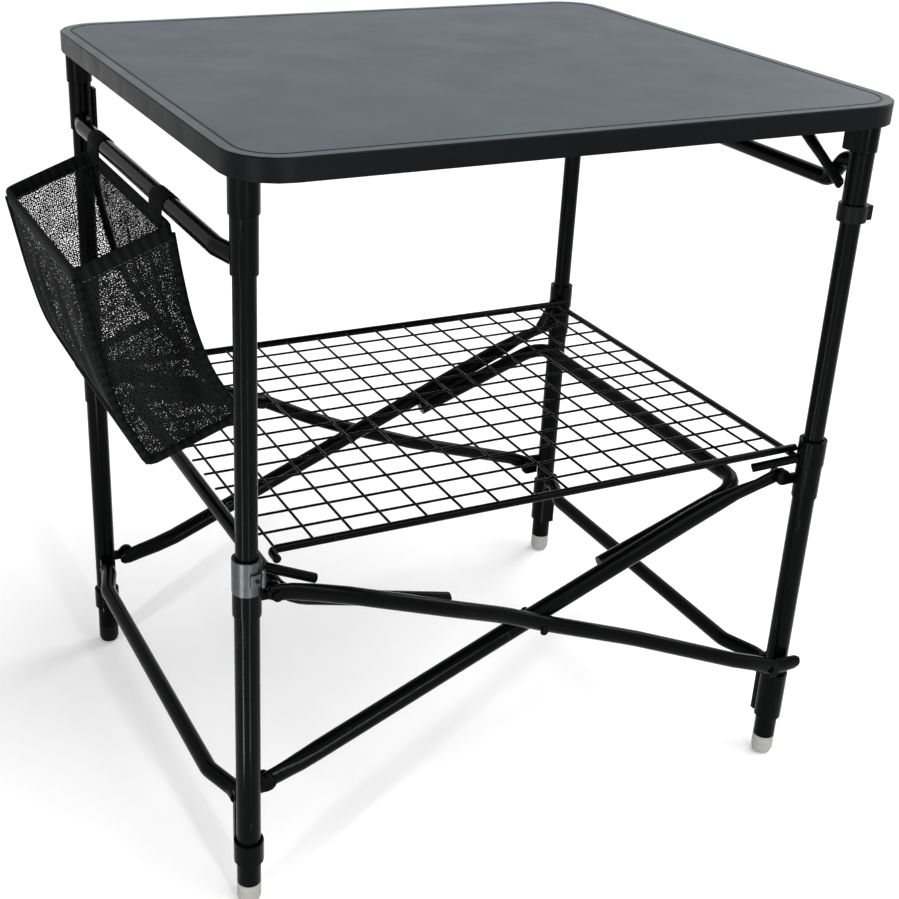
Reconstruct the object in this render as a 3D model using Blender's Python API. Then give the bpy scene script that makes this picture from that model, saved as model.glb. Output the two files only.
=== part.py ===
"""Camp kitchen stand: a flat top on two folding side frames joined by two pairs of crossed arms,
with a wire shelf at the sliding collars and a mesh pouch hung from the left upper bar.

Metres, +Z up, +X to the right as seen from the front, -Y to the front. The floor is at Z = 0 and
the origin lies on it, in the middle of the whole outline with the pouch."""

import math

import bpy
import bmesh
from mathutils import Matrix, Vector

# Driving dimensions
TOP_WIDTH = 0.616
TOP_DEPTH = 0.544
TOP_HEIGHT = 0.700
TOP_THICKNESS = 0.019
TOP_CORNER_RADIUS = 0.044
TRIM_LIP = 0.012
TRIM_WALL = 0.003

LEG_X = 0.291
LEG_Y = 0.235
UPPER_TUBE_RADIUS = 0.0095
LOWER_TUBE_RADIUS = 0.0110
TUBE_WALL = 0.0012
LOWER_TUBE_TOP = 0.306
UPPER_TUBE_BOTTOM = 0.260
UPPER_TUBE_TOP = 0.676

PIVOT_X = 0.269
LOWER_PIVOT_Z = 0.118
UPPER_PIVOT_Z = 0.326
CENTRE_PIVOT_Z = 0.222

COLLAR_BORE = 0.0103
COLLAR_RADIUS = 0.0125
COLLAR_RING_RADIUS = 0.0135
LOCK_COLLAR_RADIUS = 0.0128
COLLAR_BOTTOM = 0.3065
COLLAR_SPLIT = 0.3415
COLLAR_TOP = 0.368
LOCK_COLLAR_BOTTOM = 0.3287
LOCK_COLLAR_TOP = 0.360

INNER_ARM_RADIUS = 0.0090
OUTER_ARM_RADIUS = 0.0078
UPPER_BAR_RADIUS = 0.0080
LOWER_BAR_RADIUS = 0.0080
LEFT_LOWER_BAR_X = -0.306
RIGHT_LOWER_BAR_X = 0.273

LEFT_BAR_X = -0.299
LEFT_BAR_Z = 0.614

SHELF_HALF_DEPTH = 0.2165
SHELF_LEFT = -0.270
SHELF_RIGHT = 0.2750
SHELF_RAIL_END = 0.2865
HOOK_X = -0.2635
SHELF_Z = 0.3515
SHELF_RAIL_RADIUS = 0.00375
WIRE = 0.0022
WIRE_SPACING_X = 0.036
WIRE_SPACING_Y = 0.0310
FIRST_WIRE_X = -0.2590
CROSS_WIRES = 15
LONG_WIRES = 13

POUCH_FRONT = -0.100
POUCH_REAR = 0.150
POUCH_WALL = 0.0015

CLEAR = 0.0003
SIDES = 16

POUCH_RIM = ((-0.3860, 0.5710), (-0.3070, 0.5990))
POUCH_BASE = ((-0.3270, 0.3920), (-0.2580, 0.4160))
STAND_X = -(POUCH_RIM[0][0] + TOP_WIDTH / 2) / 2

SUB_MATERIALS = {
    "gloss_black_paint": ((0.008, 0.009, 0.010), 0.28, 0.0),
    "grey_laminate": ((0.140, 0.170, 0.180), 0.45, 0.0),
    "dark_edge_trim": ((0.012, 0.015, 0.016), 0.40, 0.0),
    "bare_steel": ((0.330, 0.340, 0.340), 0.35, 1.0),
    "grey_foot_plastic": ((0.270, 0.270, 0.260), 0.55, 0.0),
    "black_plastic": ((0.010, 0.010, 0.011), 0.45, 0.0),
    "black_mesh_fabric": ((0.010, 0.010, 0.011), 0.90, 0.0),
}

CORNERS = {"front_left": (-1, -1), "front_right": (1, -1), "rear_left": (-1, 1), "rear_right": (1, 1)}


def clear_scene():
    for obj in list(bpy.data.objects):
        bpy.data.objects.remove(obj, do_unlink=True)


def material(name):
    """The named finish, made the first time it is asked for."""
    found = bpy.data.materials.get(name)
    if found:
        return found
    colour, roughness, metallic = SUB_MATERIALS[name]
    made = bpy.data.materials.new(name)
    made.use_nodes = True
    shader = made.node_tree.nodes["Principled BSDF"]
    shader.inputs["Base Color"].default_value = (*colour, 1.0)
    shader.inputs["Roughness"].default_value = roughness
    shader.inputs["Metallic"].default_value = metallic
    return made


def new_object(name, vertices, faces, finish):
    """A closed mesh object with its faces pointing out and its round sides shaded smooth."""
    mesh = bpy.data.meshes.new(name)
    mesh.from_pydata([tuple(v) for v in vertices], [], faces)
    shape = bmesh.new()
    shape.from_mesh(mesh)
    bmesh.ops.recalc_face_normals(shape, faces=shape.faces)
    shape.to_mesh(mesh)
    shape.free()
    mesh.shade_smooth()
    mesh.set_sharp_from_angle(angle=math.radians(35))
    obj = bpy.data.objects.new(name, mesh)
    bpy.context.scene.collection.objects.link(obj)
    obj.data.materials.append(material(finish))
    return obj


def loft(name, loops, finish, ring=False):
    """A skin over loops of equal point count: capped at both ends, or closed round into a ring."""
    count = len(loops[0])
    vertices = [point for loop in loops for point in loop]
    faces = []
    pairs = len(loops) if ring else len(loops) - 1
    for i in range(pairs):
        first, second = i * count, (i + 1) % len(loops) * count
        for j in range(count):
            k = (j + 1) % count
            faces.append((first + j, first + k, second + k, second + j))
    if not ring:
        faces.append(tuple(range(count)))
        faces.append(tuple(range((len(loops) - 1) * count, len(loops) * count)))
    return new_object(name, vertices, faces, finish)


def circle(radius, z, sides=SIDES):
    turns = [2 * math.pi * i / sides for i in range(sides)]
    return [(radius * math.cos(a), radius * math.sin(a), z) for a in turns]


def pipe(name, x, y, low, high, outer, inner, finish):
    """An upright open tube."""
    loops = [circle(outer, low), circle(outer, high), circle(inner, high), circle(inner, low)]
    obj = loft(name, loops, finish, ring=True)
    obj.location = (x, y, 0)
    return obj


def turned(name, profile, finish, place, axis="Z"):
    """A solid turned round an axis from (radius, height) points whose two ends lie on the axis."""
    rings = [circle(radius, height) for radius, height in profile[1:-1]]
    vertices = [(0, 0, profile[0][1])] + [p for ring in rings for p in ring] + [(0, 0, profile[-1][1])]
    last = len(vertices) - 1
    faces = []
    for j in range(SIDES):
        k = (j + 1) % SIDES
        faces.append((0, 1 + j, 1 + k))
        faces.append((last, last - SIDES + k, last - SIDES + j))
        for i in range(len(rings) - 1):
            low, high = 1 + i * SIDES, 1 + (i + 1) * SIDES
            faces.append((low + j, low + k, high + k, high + j))
    obj = new_object(name, vertices, faces, finish)
    if axis == "Y":
        obj.data.transform(Matrix.Rotation(math.radians(-90), 4, "X"))
    obj.location = place
    return obj


def box(name, low, high, finish):
    (x0, y0, z0), (x1, y1, z1) = low, high
    base = [(x0, y0), (x1, y0), (x1, y1), (x0, y1)]
    return loft(name, [[(x, y, z) for x, y in base] for z in (z0, z1)], finish)


def plate_across_y(name, outline, y_low, y_high, finish):
    """A flat plate with an outline in X and Z, between two Y positions."""
    return loft(name, [[(x, y, z) for x, z in outline] for y in (y_low, y_high)], finish)


def rounded_path(points, radius, steps=5):
    """The points joined by straight runs, with each inner corner replaced by an arc."""
    points = [Vector(p) for p in points]
    path = [points[0]]
    for before, corner, after in zip(points, points[1:], points[2:]):
        back, ahead = (before - corner).normalized(), (after - corner).normalized()
        half = back.angle(ahead) / 2
        reach = radius / math.tan(half)
        centre = corner + (back + ahead).normalized() * (radius / math.sin(half))
        start = corner + back * reach - centre
        end = corner + ahead * reach - centre
        for i in range(steps + 1):
            path.append(centre + start.slerp(end, i / steps) * radius)
    path.append(points[-1])
    return path


def tangents(path):
    found = []
    for i in range(len(path)):
        before, after = path[max(i - 1, 0)], path[min(i + 1, len(path) - 1)]
        found.append((after - before).normalized())
    return found


def tube(name, path, radius, finish, sides=SIDES):
    """A round tube along a path, its section carried along without twist."""
    directions = tangents(path)
    side = directions[0].orthogonal().normalized()
    loops = []
    for point, direction in zip(path, directions):
        side = (side - direction * side.dot(direction)).normalized()
        up = direction.cross(side)
        turns = [2 * math.pi * i / sides for i in range(sides)]
        loops.append([point + side * (radius * math.cos(a)) + up * (radius * math.sin(a)) for a in turns])
    return loft(name, loops, finish)


def pressed_tube(name, stations, sign, across, finish):
    """A tube through (x, depth, z, half thickness, half height), pressed flat where it is thin.

    Depth is the distance from the middle of the stand, and sign puts it on the front or the rear.
    The thickness is measured along across."""
    path = [Vector((x, sign * depth, z)) for x, depth, z, _, _ in stations]
    loops = []
    for point, direction, (_, _, _, thick, high) in zip(path, tangents(path), stations):
        side = (across - direction * direction.dot(across)).normalized()
        up = direction.cross(side)
        turns = [2 * math.pi * i / SIDES for i in range(SIDES)]
        loops.append([point + side * (thick * math.cos(a)) + up * (high * math.sin(a)) for a in turns])
    return loft(name, loops, finish)


def combine(obj, other, operation="UNION"):
    """A Boolean with a helper, which stays in the file as a hidden wire shape."""
    modifier = obj.modifiers.new(other.name, "BOOLEAN")
    modifier.operation = operation
    modifier.object = other
    modifier.solver = "EXACT"
    other.hide_render = True
    other.display_type = "WIRE"
    return obj


def rod(name, radius, length, place, axis="Z"):
    profile = [(0, 0), (radius, 0), (radius, length), (0, length)]
    return turned(name, profile, "black_plastic", place, axis)


def hole_across_y(obj, x, z, radius, y_low, y_high):
    cutter = rod(f"cut_{obj.name}_{len(obj.modifiers)}", radius, y_high - y_low, (x, y_low, z), "Y")
    return combine(obj, cutter, "DIFFERENCE")


def cope_to_legs(obj, sx, radius, low, high):
    """Cuts the ends of a bar to the round of the legs that they meet."""
    for sy in (-1, 1):
        place = (sx * LEG_X, sy * LEG_Y, low)
        combine(obj, rod(f"cope_{obj.name}_{sy + 1}", radius + CLEAR, high - low, place), "DIFFERENCE")
    return obj


# Tabletop


def rounded_rectangle(half_x, half_y, radius, z, steps=5):
    points = []
    for quarter, (sx, sy) in enumerate(((1, 1), (-1, 1), (-1, -1), (1, -1))):
        for i in range(steps + 1):
            a = math.radians(90 * (quarter + i / steps))
            x = sx * (half_x - radius) + radius * math.cos(a)
            y = sy * (half_y - radius) + radius * math.sin(a)
            points.append((x, y, z))
    return points


def make_tabletop():
    """The board drops into a moulded edge that wraps its rim, so a thin groove shows all round."""
    half_x, half_y, bottom = TOP_WIDTH / 2, TOP_DEPTH / 2, TOP_HEIGHT - TOP_THICKNESS
    lip_underside = TOP_HEIGHT - TRIM_WALL

    def outline(inset, z):
        radius = max(TOP_CORNER_RADIUS - inset, 0.002)
        return rounded_rectangle(half_x - inset, half_y - inset, radius, z)

    board_edge, board_face = TRIM_WALL + CLEAR, TRIM_LIP + CLEAR
    board = loft("tabletop_board", [
        outline(board_edge, bottom),
        outline(board_edge, lip_underside - CLEAR),
        outline(board_face, lip_underside - CLEAR),
        outline(board_face, TOP_HEIGHT),
    ], "grey_laminate")
    round_over = 0.0012
    trim = loft("tabletop_edge_trim", [
        outline(0, bottom),
        outline(0, TOP_HEIGHT - round_over),
        outline(round_over, TOP_HEIGHT),
        outline(TRIM_LIP, TOP_HEIGHT),
        outline(TRIM_LIP, lip_underside),
        outline(TRIM_WALL, lip_underside),
        outline(TRIM_WALL, bottom),
    ], "dark_edge_trim", ring=True)
    return [board, trim]


# Side frames

FOOT_PROFILE = [(0, 0), (0.0065, 0), (0.0094, 0.0018), (0.0110, 0.0065), (0.0110, 0.0220),
                (0.0092, 0.0220), (0.0092, 0.0400), (0, 0.0400)]
TOP_SLEEVE_PROFILE = [(0, 0.6780), (0.0098, 0.6780), (0.0098, 0.6040), (0.0112, 0.6040), (0.0112, 0.6500),
                      (0.0125, 0.6510), (0.0125, 0.6795), (0.0115, 0.6805), (0, 0.6805)]
BRACKET_LOW = 0.047
BRACKET_RING_TOP = {-1: 0.069, 1: 0.101}
LOWER_BAR_Z = 0.105


def make_leg(tag, sx, sy):
    x, y = sx * LEG_X, sy * LEG_Y
    lower = pipe(f"lower_leg_{tag}", x, y, 0.022 + CLEAR, LOWER_TUBE_TOP, LOWER_TUBE_RADIUS,
                 LOWER_TUBE_RADIUS - TUBE_WALL, "gloss_black_paint")
    upper = pipe(f"upper_leg_{tag}", x, y, UPPER_TUBE_BOTTOM, UPPER_TUBE_TOP, UPPER_TUBE_RADIUS,
                 UPPER_TUBE_RADIUS - TUBE_WALL, "gloss_black_paint")
    foot = turned(f"foot_{tag}", FOOT_PROFILE, "grey_foot_plastic", (x, y, 0))
    sleeve = turned(f"top_sleeve_{tag}", TOP_SLEEVE_PROFILE, "gloss_black_paint", (x, y, 0))
    if sx > 0:
        low, high = (0.2730, y - 0.007, 0.6530), (0.2812, y + 0.007, 0.6800)
        combine(sleeve, box(f"sleeve_lug_{tag}", low, high, "gloss_black_paint"))
    return [lower, upper, foot, sleeve, make_bracket(tag, sx, sy), make_pivot_lug(tag, sx, sy)]


def make_bracket(tag, sx, sy):
    """The ring low on a leg, with the upright web that holds the end of the lower bar."""
    x, y = sx * LEG_X, sy * LEG_Y
    ring = pipe(f"lower_bracket_{tag}", x, y, BRACKET_LOW, BRACKET_RING_TOP[sx],
                0.0137, LOWER_TUBE_RADIUS + CLEAR, "gloss_black_paint")
    near, far = sorted((sy * 0.2185, sy * 0.2232))
    web = box(f"web_{tag}", (x - 0.0088, near, BRACKET_LOW), (x + 0.0072, far, 0.1145), "gloss_black_paint")
    return combine(ring, web)


def lug_outline(sx, wall_x, z, radius=0.008):
    """A tab from the leg to a round end about a pivot, seen from the front."""
    pivot_x = sx * PIVOT_X
    low, high = z - 0.0078, z + 0.0022
    points = [(wall_x, low), (wall_x, high), (sx * 0.2775, high)]
    for i in range(9):
        a = math.radians(150 - 30 * i)
        points.append((pivot_x - sx * radius * math.cos(a), z + radius * math.sin(a)))
    return points


def rivet(name, x, z, sy, start, end):
    """A shaft with a low head at its far end, from one depth to another."""
    length, head = abs(end - start), 0.0017
    profile = [(0, 0), (0.0030, 0), (0.0030, length), (0.0052, length), (0.0046, length + head), (0, length + head)]
    obj = turned(name, profile, "gloss_black_paint", (x, sy * start, z), "Y")
    outwards = sy * (end - start) > 0
    if not outwards:
        obj.data.transform(Matrix.Rotation(math.radians(180), 4, "X"))
    return obj


def make_pivot_lug(tag, sx, sy):
    """The fixed tab and rivet that an arm's lower end turns on."""
    near, far = (0.2235, 0.2275) if sx < 0 else (0.2425, 0.2465)
    low, high = sorted((sy * near, sy * far))
    lug = plate_across_y(f"lower_pivot_{tag}", lug_outline(sx, sx * 0.2826, LOWER_PIVOT_Z), low, high,
                         "gloss_black_paint")
    start, end = (0.2255, 0.2128) if sx < 0 else (0.2445, 0.2587)
    return combine(lug, rivet(f"rivet_{tag}", sx * PIVOT_X, LOWER_PIVOT_Z, sy, start, end))


def mirrored_path(half, radius):
    """A path given from the front end to the middle, repeated backwards behind the middle."""
    return rounded_path(half + [(x, -y, z) for x, y, z in reversed(half)], radius)


def make_bars():
    left_upper = tube("upper_bar_left", mirrored_path(
        [(-0.2915, -0.2310, LEFT_BAR_Z), (LEFT_BAR_X, -0.1950, LEFT_BAR_Z)], 0.020),
        UPPER_BAR_RADIUS, "gloss_black_paint")
    right_upper = tube("upper_bar_right", mirrored_path(
        [(LEG_X, -0.2310, 0.6410), (LEG_X, -0.2150, 0.6385), (LEG_X, -0.1980, 0.6160)], 0.010),
        UPPER_BAR_RADIUS - 0.0005, "gloss_black_paint")
    bars = [cope_to_legs(left_upper, -1, 0.0112, 0.590, 0.640), cope_to_legs(right_upper, 1, 0.0112, 0.590, 0.660)]
    for side, sx, x in (("left", -1, LEFT_LOWER_BAR_X), ("right", 1, RIGHT_LOWER_BAR_X)):
        end_x = sx * LEG_X + (x - sx * LEG_X) * 0.2
        half = [(end_x, -0.2182, LOWER_BAR_Z), (end_x, -0.2060, LOWER_BAR_Z), (x, -0.1700, LOWER_BAR_Z)]
        bars.append(tube(f"lower_bar_{side}", mirrored_path(half, 0.030), LOWER_BAR_RADIUS, "gloss_black_paint"))
    return bars


def make_hanger_plate():
    """The upright strip beside the rear left leg."""
    return box("hanger_plate", (-0.2840, 0.2110, 0.5560), (-0.2810, 0.2220, 0.6480), "gloss_black_paint")


STRUT_X = 0.2806
STRUT = [(0.2266, 0.0016, 0.0040), (0.2250, 0.0022, 0.0058), (0.1930, 0.0022, 0.0058), (0.1800, 0.0050, 0.0055),
         (0.1700, 0.0055, 0.0055), (0.1343, 0.0055, 0.0055)]


def make_strut(tag, sy):
    """The thin stay from a right leg up to the underside of the top, pressed flat beside the upper bar."""
    stations = [(STRUT_X, depth, 0.6477 + 0.6216 * (0.1790 - depth), thick, high) for depth, thick, high in STRUT]
    return pressed_tube(f"strut_{tag}", stations, sy, Vector((1, 0, 0)), "gloss_black_paint")


def make_clip(tag, sy):
    """The moulded clip under a right leg's top sleeve, with its boss."""
    ring = pipe(f"leg_clip_{tag}", LEG_X, sy * LEG_Y, 0.5870, 0.6025, 0.0135, 0.0098, "black_plastic")
    low, high = sorted((sy * 0.2430, sy * 0.2290))
    return combine(ring, box(f"clip_boss_{tag}", (0.3025, low, 0.5880), (0.3075, high, 0.6015), "black_plastic"))


# Crossed arms

OUTER_ARM = [
    (-0.2770, 0.2440, 0.3275, 0.0020, 0.0030),
    (-0.2750, 0.2440, 0.3275, 0.0040, 0.0058),
    (-0.2690, 0.2440, 0.3270, 0.0045, 0.0075),
    (-0.2550, 0.2442, 0.3250, 0.0048, 0.0078),
    (-0.2300, 0.2450, 0.3185, 0.0068, 0.0078),
    (-0.2050, 0.2456, 0.3108, OUTER_ARM_RADIUS, OUTER_ARM_RADIUS),
    (-0.1080, 0.2456, 0.2752, OUTER_ARM_RADIUS, OUTER_ARM_RADIUS),
    (-0.0950, 0.2450, 0.2702, OUTER_ARM_RADIUS, OUTER_ARM_RADIUS),
    (-0.0500, 0.2345, 0.2490, OUTER_ARM_RADIUS, OUTER_ARM_RADIUS),
    (-0.0350, 0.2324, 0.2422, OUTER_ARM_RADIUS, OUTER_ARM_RADIUS),
    (0.0000, 0.2320, 0.2267, OUTER_ARM_RADIUS, OUTER_ARM_RADIUS),
    (0.0900, 0.2325, 0.1910, OUTER_ARM_RADIUS, OUTER_ARM_RADIUS),
    (0.1100, 0.2340, 0.1835, OUTER_ARM_RADIUS, OUTER_ARM_RADIUS),
    (0.2200, 0.2510, 0.1415, OUTER_ARM_RADIUS, OUTER_ARM_RADIUS),
    (0.2480, 0.2533, 0.1318, 0.0070, 0.0080),
    (0.2620, 0.2535, 0.1245, 0.0045, 0.0088),
    (0.2690, 0.2535, 0.1216, 0.0045, 0.0088),
    (0.2850, 0.2535, 0.1210, 0.0045, 0.0088),
    (0.2980, 0.2535, 0.1210, 0.0045, 0.0080),
    (0.3030, 0.2535, 0.1208, 0.0036, 0.0055),
    (0.3045, 0.2535, 0.1207, 0.0018, 0.0025),
]
INNER_ARM = [
    (-0.2775, 0.2180, 0.1122, 0.0020, 0.0035),
    (-0.2750, 0.2180, 0.1127, 0.0040, 0.0065),
    (-0.2690, 0.2180, 0.1148, 0.0045, 0.0088),
    (-0.2560, 0.2178, 0.1186, 0.0050, 0.0092),
    (-0.2350, 0.2160, 0.1247, 0.0080, INNER_ARM_RADIUS),
    (-0.2150, 0.2145, 0.1318, INNER_ARM_RADIUS, INNER_ARM_RADIUS),
    (0.0000, 0.2140, 0.2220, INNER_ARM_RADIUS, INNER_ARM_RADIUS),
    (0.1700, 0.2140, 0.2925, INNER_ARM_RADIUS, INNER_ARM_RADIUS),
    (0.2000, 0.2145, 0.3045, 0.0086, 0.0085),
    (0.2220, 0.2160, 0.3125, 0.0065, 0.0070),
    (0.2450, 0.2178, 0.3185, 0.0046, 0.0062),
    (0.2690, 0.2180, 0.3255, 0.0045, 0.0075),
    (0.2750, 0.2180, 0.3262, 0.0040, 0.0058),
    (0.2775, 0.2180, 0.3264, 0.0020, 0.0030),
]
PIN_HOLE = 0.0033
CENTRE_PIN_HOLE = 0.0028


def make_arms():
    arms = {"outer": [], "inner": []}
    for end, sy in (("front", -1), ("rear", 1)):
        for kind, stations, upper, lower in (("outer", OUTER_ARM, -PIVOT_X, PIVOT_X),
                                             ("inner", INNER_ARM, PIVOT_X, -PIVOT_X)):
            made = pressed_tube(f"{kind}_arm_{end}", stations, sy, Vector((0, 1, 0)), "gloss_black_paint")
            low, high = sorted((sy * 0.190, sy * 0.280))
            hole_across_y(made, upper, UPPER_PIVOT_Z, PIN_HOLE, low, high)
            hole_across_y(made, lower, LOWER_PIVOT_Z, PIN_HOLE, low, high)
            hole_across_y(made, 0, CENTRE_PIVOT_Z, CENTRE_PIN_HOLE, low, high)
            arms[kind].append(made)
    return arms


def make_centre_pin(end, sy):
    """The rivet through both arms of a crossing."""
    start = 0.2010
    inner_face, outer_face = 0.0035, 0.0392
    profile = [(0, 0), (0.0045, 0.0008), (0.0045, inner_face), (0.0025, inner_face), (0.0025, outer_face),
               (0.0045, outer_face), (0.0036, outer_face + 0.0015), (0, outer_face + 0.0015)]
    pin = turned(f"centre_pin_{end}", profile, "gloss_black_paint", (0, sy * start, CENTRE_PIVOT_Z), "Y")
    if sy < 0:
        pin.data.transform(Matrix.Rotation(math.radians(180), 4, "X"))
    return pin


def make_crossbars():
    """Each bar joins the front and rear arms of one set, its ends bent to lie along them."""
    outer = tube("crossbar_left", mirrored_path(
        [(-0.0990, -0.2303, 0.2735), (-0.2560, -0.2303, 0.3125)], 0.022), 0.0070, "gloss_black_paint")
    inner = tube("crossbar_right", mirrored_path(
        [(0.0850, -0.1964, 0.2520), (0.2440, -0.1964, 0.3095)], 0.026), 0.0080, "gloss_black_paint")
    return outer, inner


# Collars


def make_collar(tag, sx, sy):
    """The sliding sleeve that an arm's upper end turns on."""
    top = LOCK_COLLAR_BOTTOM - 0.0005 if tag == "front_left" else COLLAR_SPLIT - 0.0005
    collar = pipe(f"collar_{tag}", sx * LEG_X, sy * LEG_Y, COLLAR_BOTTOM, top, COLLAR_RADIUS, COLLAR_BORE,
                  "gloss_black_paint")
    near, far, wall_x = (0.2345, 0.2385, 0.2803) if sx < 0 else (0.2235, 0.2275, 0.2835)
    low, high = sorted((sy * near, sy * far))
    lug = plate_across_y(f"collar_lug_{tag}", lug_outline(sx, sx * wall_x, UPPER_PIVOT_Z), low, high,
                         "gloss_black_paint")
    start, end = (0.2365, 0.2492) if sx < 0 else (0.2255, 0.2128)
    combine(collar, lug)
    return combine(collar, rivet(f"collar_rivet_{tag}", sx * PIVOT_X, UPPER_PIVOT_Z, sy, start, end))


def stay_path(tag, sx, sy):
    if tag == "front_left":
        return [Vector((-0.2757, sy * 0.2335, 0.3473)), Vector((-0.2290, sy * 0.2325, 0.3255))]
    if sx < 0:
        return [Vector((-0.2785, sy * 0.2335, 0.3485)), Vector((-0.2290, sy * 0.2325, 0.3255))]
    return [Vector((0.2786, sy * 0.2320, 0.3480)), Vector((0.2460, sy * 0.2060, 0.3310))]


def make_stay(tag, sx, sy):
    """The upper ring of a collar with the short stay that runs down towards the crossbar."""
    stay = tube(f"collar_stay_{tag}", stay_path(tag, sx, sy), 0.0045, "gloss_black_paint", sides=12)
    if tag == "front_left":
        return stay
    ring = pipe(f"stay_ring_{tag}", sx * LEG_X, sy * LEG_Y, COLLAR_SPLIT, COLLAR_TOP, COLLAR_RING_RADIUS,
                COLLAR_BORE, "gloss_black_paint")
    return combine(ring, stay)


def make_lock_collar():
    return pipe("lock_collar", -LEG_X, -LEG_Y, LOCK_COLLAR_BOTTOM, LOCK_COLLAR_TOP, LOCK_COLLAR_RADIUS,
                COLLAR_BORE, "bare_steel")


LEVER_INNER = 0.0133
LEVER_OUTER = 0.0148
LEVER_START = math.radians(262)
LEVER_END = math.radians(312)
LEVER_HINGE_RADIUS = 0.0154
LEVER_LOW = 0.3380
LEVER_HIGH = 0.3500


def lever_hinge():
    return Vector((-LEG_X + LEVER_HINGE_RADIUS * math.cos(LEVER_END),
                   -LEG_Y + LEVER_HINGE_RADIUS * math.sin(LEVER_END), 0))


def make_lock_lever():
    """The bent steel tongue on the lock collar, from its free end round to its upright hinge."""
    steps = 6
    loops = []
    for i in range(steps + 1):
        a = LEVER_START + (LEVER_END - LEVER_START) * i / steps
        loops.append([
            (-LEG_X + r * math.cos(a), -LEG_Y + r * math.sin(a), z)
            for r, z in ((LEVER_INNER, LEVER_LOW), (LEVER_OUTER, LEVER_LOW),
                         (LEVER_OUTER, LEVER_HIGH), (LEVER_INNER, LEVER_HIGH))
        ])
    tongue = loft("lock_lever", loops, "bare_steel")
    hinge = lever_hinge()
    profile = [(0, 0), (0.0019, 0), (0.0019, 0.0160), (0, 0.0160)]
    return combine(tongue, turned("lever_knuckle", profile, "bare_steel", (hinge.x, hinge.y, 0.3360)))


# Shelf


def make_shelf_grid():
    """One flat grid of welded wires: every cell that a wire covers is solid, the rest is open."""
    half = WIRE / 2
    wires_x = [FIRST_WIRE_X + WIRE_SPACING_X * i for i in range(CROSS_WIRES)] + [SHELF_RIGHT - half]
    first_y = -WIRE_SPACING_Y * (LONG_WIRES - 1) / 2
    wires_y = [first_y + WIRE_SPACING_Y * i for i in range(LONG_WIRES)]
    reach = SHELF_HALF_DEPTH
    cuts_x = [SHELF_LEFT] + [x + s * half for x in wires_x for s in (-1, 1)]
    cuts_y = [-reach] + [y + s * half for y in wires_y for s in (-1, 1)] + [reach]
    columns, rows = len(cuts_x) - 1, len(cuts_y) - 1

    def solid(i, j):
        inside = 0 <= i < columns and 0 <= j < rows
        return inside and (i % 2 == 1 or j % 2 == 1)

    wide = len(cuts_y)
    level = len(cuts_x) * wide
    low, high = SHELF_Z - half, SHELF_Z + half
    vertices = [(x, y, z) for z in (low, high) for x in cuts_x for y in cuts_y]
    faces = []
    for i in range(columns):
        for j in range(rows):
            if not solid(i, j):
                continue
            a, b = i * wide + j, (i + 1) * wide + j
            corners = [a, b, b + 1, a + 1]
            faces.append(tuple(reversed(corners)))
            faces.append(tuple(c + level for c in corners))
            for (di, dj), (p, q) in (((0, -1), (a, b)), ((1, 0), (b, b + 1)),
                                     ((0, 1), (b + 1, a + 1)), ((-1, 0), (a + 1, a))):
                if not solid(i + di, j + dj):
                    faces.append((p, q, q + level, p + level))
    return drop_loose(new_object("shelf_grid", vertices, faces, "gloss_black_paint"))


def drop_loose(obj):
    """Removes the grid points that no face uses."""
    shape = bmesh.new()
    shape.from_mesh(obj.data)
    bmesh.ops.delete(shape, geom=[v for v in shape.verts if not v.link_faces], context="VERTS")
    shape.to_mesh(obj.data)
    shape.free()
    return obj


def make_shelf():
    """The wire shelf: the grid welded to a front and a rear rail.

    The left end of a rail turns out over the stay, and its right end lies on the support rail."""
    grid = make_shelf_grid()
    for end, sy in (("front", -1), ("rear", 1)):
        corners = [(HOOK_X, 0.2335), (HOOK_X, SHELF_HALF_DEPTH), (SHELF_RAIL_END, SHELF_HALF_DEPTH)]
        path = rounded_path([(x, sy * y, SHELF_Z) for x, y in corners], 0.0070)
        combine(grid, tube(f"shelf_rail_{end}", path, SHELF_RAIL_RADIUS, "gloss_black_paint", sides=12))
    return grid


def make_shelf_support():
    path = [Vector((0.2850, y, 0.3440)) for y in (-0.2213, 0.2213)]
    return tube("shelf_support_rail", path, 0.00325, "gloss_black_paint", sides=12)


# Pouch


def pouch_section(level, inset, y):
    """The outer and inner sides at one height from the base, 0, to the rim, 1, drawn in by inset."""
    (outer_x, outer_z), (inner_x, inner_z) = [
        tuple(low + (high - low) * level for low, high in zip(base, rim))
        for base, rim in zip(POUCH_BASE, POUCH_RIM)
    ]
    return (outer_x + inset, y, outer_z + inset / 3), (inner_x - inset, y, inner_z - inset / 3)


def pouch_loop(level, inset, lift=0.0):
    front = pouch_section(level, inset, POUCH_FRONT + inset)
    rear = pouch_section(level, inset, POUCH_REAR - inset)
    return [(x, y, z + lift) for x, y, z in (front[0], front[1], rear[1], rear[0])]


def make_pouch():
    """The open bag, a thin-walled box that narrows and leans under the bar."""
    loops = [pouch_loop(0, 0), pouch_loop(1, 0), pouch_loop(1, POUCH_WALL), pouch_loop(0, POUCH_WALL, POUCH_WALL)]
    bag = loft("mesh_pouch", loops, "black_mesh_fabric")
    return [bag, make_strap("front", -0.0880, -0.0680), make_strap("rear", 0.1180, 0.1380)]


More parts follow.
